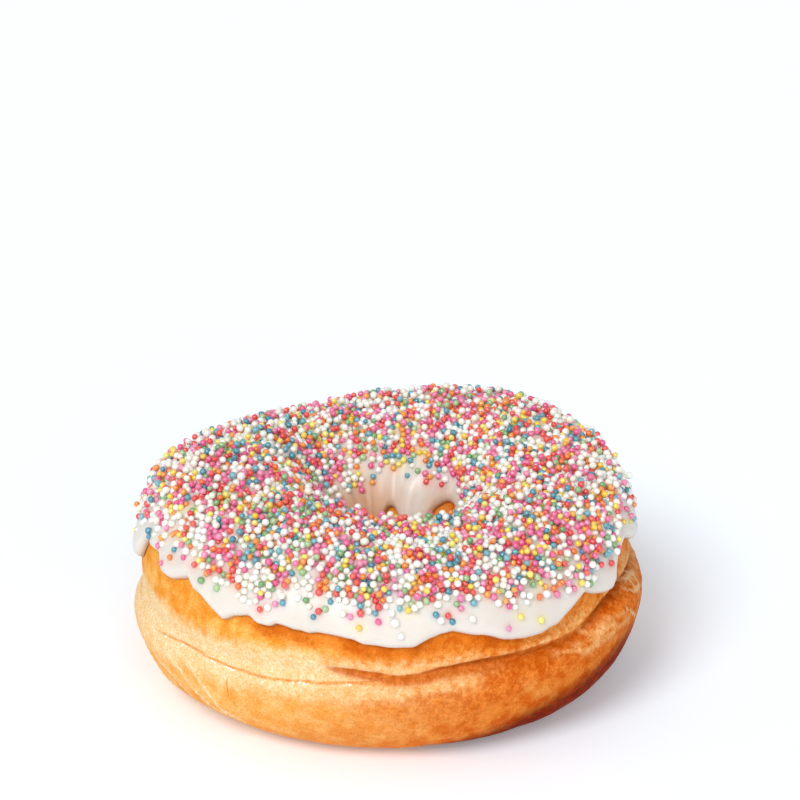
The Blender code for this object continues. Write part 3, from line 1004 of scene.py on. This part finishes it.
# %% Paint the crust in layers
# Each layer covers what is under it where its mark passes from one value to another, and
# it is mottled from one colour to a second one by a noise.
LIGHT_SIDE = (
    # mark, from, to, most, noise, two colours
    (None, 0, 0, 1.0, "mottling", "#FFF9E4", "#FFECC6"),
    ("over_band", -1.5, 1.6, 1.0, "blotches", "#FFD07A", "#F8AE46"),
    ("over_band", 2.5, 7.5, 0.6, "mottling", "#FABA52", "#F09C36"),
    ("under_band", -1.6, 2.6, 1.0, "blotches", "#FFDC9C", "#FDC674"),
    ("under_band", 5.0, 15.0, 0.55, "mottling", "#F8AE5E", "#EC903A"),
    ("groove", 0.06, 0.15, 0.8, "mottling", "#F4B45A", "#E4963A"),
    ("specks", 0.3, 0.2, 0.4, "mottling", "#E09A44", "#D08632"),
)
BROWN_SIDE = (
    (None, 0, 0, 1.0, "mottling", "#FDDCAC", "#F2AE66"),
    ("over_band", -0.6, 1.0, 1.0, "mottling", "#FCB25C", "#E4822A"),
    ("over_band", 1.5, 4.5, 0.8, "mottling", "#F6A044", "#DC7014"),
    ("under_band", -0.5, 1.2, 1.0, "mottling", "#F49A48", "#D46A18"),
    ("under_band", 3.0, 9.0, 0.75, "blotches", "#F8AC54", "#DA6A10"),
    ("patches", 0.52, 0.66, 0.4, "mottling", "#FFCC8A", "#F6AE60"),
    # Painted shade: the fold is painted dark brown where the lip hangs over it.
    ("groove", 0.1, 0.8, 0.75, "mottling", "#B65C0C", "#9C4604"),
    ("specks", 0.68, 0.78, 0.6, "mottling", "#FFD698", "#FCC074"),
)
BOTH_SIDES = (
    # Painted shade under the hanging lip.
    ("painted_lip_shade", 0.02, 0.65, 0.85, "mottling", "#DC8230", "#C46416"),
    # Painted shade under the icing, partly deeper browning.
    ("under_hem", 0.05, 0.6, 0.75, "blotches", "#EC8C28", "#CC6612"),
    ("wisps", 0.05, 0.45, 0.8, "mottling", "#FFE0B0", "#F6BA7C"),
    # Painted highlight: the ridges' crests are painted nearly white.
    ("ridges", 0.05, 0.7, 0.9, "mottling", "#FFF8E4", "#FFECC8"),
    ("cracks", 0.5, 0.9, 0.8, "mottling", "#F0AC58", "#DE9440"),
    # Painted shade and scorch on the underside away from the light.
    ("scorched_and_shade", 0.0, 1.0, 0.97, "mottling", "#962C06", "#661604"),
)
# The glints are painted highlights of syrup on the crust, so they go over the grain.
GLINT_HIGHLIGHTS = (("painted_glint", 0.4, 0.46, 0.9, "mottling", "#FFFFFF", "#FFF6E6"),)


def painted(layers, crust=None):
    """The colour that a table of layers gives over another colour."""
    for mark, start, end, most, pattern, pale, deep in layers:
        between = add(tree, "ShaderNodeMapRange", {
            "Value": marks[pattern], "From Min": 0.36, "From Max": 0.64,
        }, interpolation_type="SMOOTHSTEP").outputs[0]
        colour = add(tree, "ShaderNodeMix", {
            "Factor": between, 6: linear(pale), 7: linear(deep)}, data_type="RGBA").outputs[2]
        if mark:
            cover = add(tree, "ShaderNodeMapRange", {
                "Value": marks[mark], "From Min": start, "From Max": end, "To Max": most,
            }, interpolation_type="SMOOTHSTEP").outputs[0]
            colour = add(tree, "ShaderNodeMix", {
                "Factor": cover, 6: crust, 7: colour}, data_type="RGBA").outputs[2]
        crust = colour
    return crust


crust = painted(BOTH_SIDES, add(tree, "ShaderNodeMix", {
    "Factor": marks["browned"], 6: painted(LIGHT_SIDE), 7: painted(BROWN_SIDE),
}, data_type="RGBA").outputs[2])
for pattern, dark in (
    ("blisters", "#F0DABC"), ("patches", "#FAEEE0"), ("pores", "#F7DCB0"),
):
    between = add(tree, "ShaderNodeMapRange", {
        "Value": marks[pattern], "From Min": 0.3, "From Max": 0.7}).outputs[0]
    grain = add(tree, "ShaderNodeMix", {
        "Factor": between, 6: linear(dark), 7: linear("#FFFFFF")}, data_type="RGBA").outputs[2]
    crust = add(tree, "ShaderNodeMix", {
        "Factor": 1.0, 6: crust, 7: grain}, data_type="RGBA", blend_type="MULTIPLY").outputs[2]
tree.links.new(painted(GLINT_HIGHLIGHTS, crust), shader.inputs["Base Color"])

# %% Crust gloss and grain
roughness = add(tree, "ShaderNodeMapRange", {
    "Value": marks["blotches"], "From Min": 0.3, "From Max": 0.7, "To Min": 0.42, "To Max": 0.58,
}).outputs[0]
tree.links.new(roughness, shader.inputs["Roughness"])
shader.inputs["IOR"].default_value = 1.45  # a film of frying fat
shader.inputs["Specular IOR Level"].default_value = 0.01  # nearly all of it has soaked in
shader.inputs["Subsurface Weight"].default_value = 0.15
shader.inputs["Subsurface Radius"].default_value = (1.0, 0.45, 0.2)
shader.inputs["Subsurface Scale"].default_value = 1.5 * MM
relief = add(tree, "ShaderNodeMath", {0: marks["mottling"], 1: 0.5, 2: marks["blisters"]},
             operation="MULTIPLY_ADD").outputs[0]
bump = add(tree, "ShaderNodeBump", {"Height": relief, "Strength": 0.4, "Distance": 0.12 * MM})
tree.links.new(bump.outputs[0], shader.inputs["Normal"])
dough.data.materials.append(material)

# %% [markdown]
# ## The stage
# The doughnut stands on a white light table: a floor that also glows a little, which keeps
# the ground pure white and fills the underside with light. One broad soft light stands high
# on the left and a little in front, so that the shadow falls short and to the right. A
# weaker one beside the camera fills the shade between the sprinkles.

# %% Floor and light
FLOOR_GLOW = 0.16
SKY = 0.46
LIGHTS = (
    # name, strength, angle round, height angle and softness in degrees
    ("key", 1.78, -120, 45, 28),
    ("fill", 0.62, -76, 30, 40),
)

bpy.ops.object.select_all(action="DESELECT")
bpy.ops.mesh.primitive_plane_add(size=6)
floor = bpy.context.object
floor.name = floor.data.name = "floor"
material, tree, shader = new_material("white_light_table")
shader.inputs["Base Color"].default_value = linear("#EFF7FF")  # cools the dough's warm bounce
shader.inputs["Roughness"].default_value = 0.9
shader.inputs["Emission Color"].default_value = linear("#FFFFFF")
shader.inputs["Emission Strength"].default_value = FLOOR_GLOW
floor.data.materials.append(material)

world = bpy.data.worlds.new("studio")
world.use_nodes = True
world.node_tree.nodes["Background"].inputs["Color"].default_value = linear("#FFFFFF")
world.node_tree.nodes["Background"].inputs["Strength"].default_value = SKY
bpy.context.scene.world = world
bpy.context.scene.view_settings.view_transform = "Standard"

for name, strength, azimuth, elevation, softness in LIGHTS:
    light = bpy.data.objects.new(name, bpy.data.lights.new(name, "SUN"))
    light.data.energy = strength
    light.data.angle = math.radians(softness)
    azimuth, elevation = math.radians(azimuth), math.radians(elevation)
    towards = Vector((
        math.cos(azimuth) * math.cos(elevation),
        math.sin(azimuth) * math.cos(elevation),
        math.sin(elevation),
    ))
    light.rotation_euler = (-towards).to_track_quat("-Z", "Y").to_euler()
    light.location = LOOK_AT + 0.5 * towards
    bpy.context.scene.collection.objects.link(light)

# %% Hand over to the frame
for piece, node, slot in ((dough, "dough_ring", "fried_dough"), (icing, "icing", "white_icing")):
    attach(piece, "root")
    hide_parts(node)
for name, piece in sprinkles.items():
    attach(piece, "root")
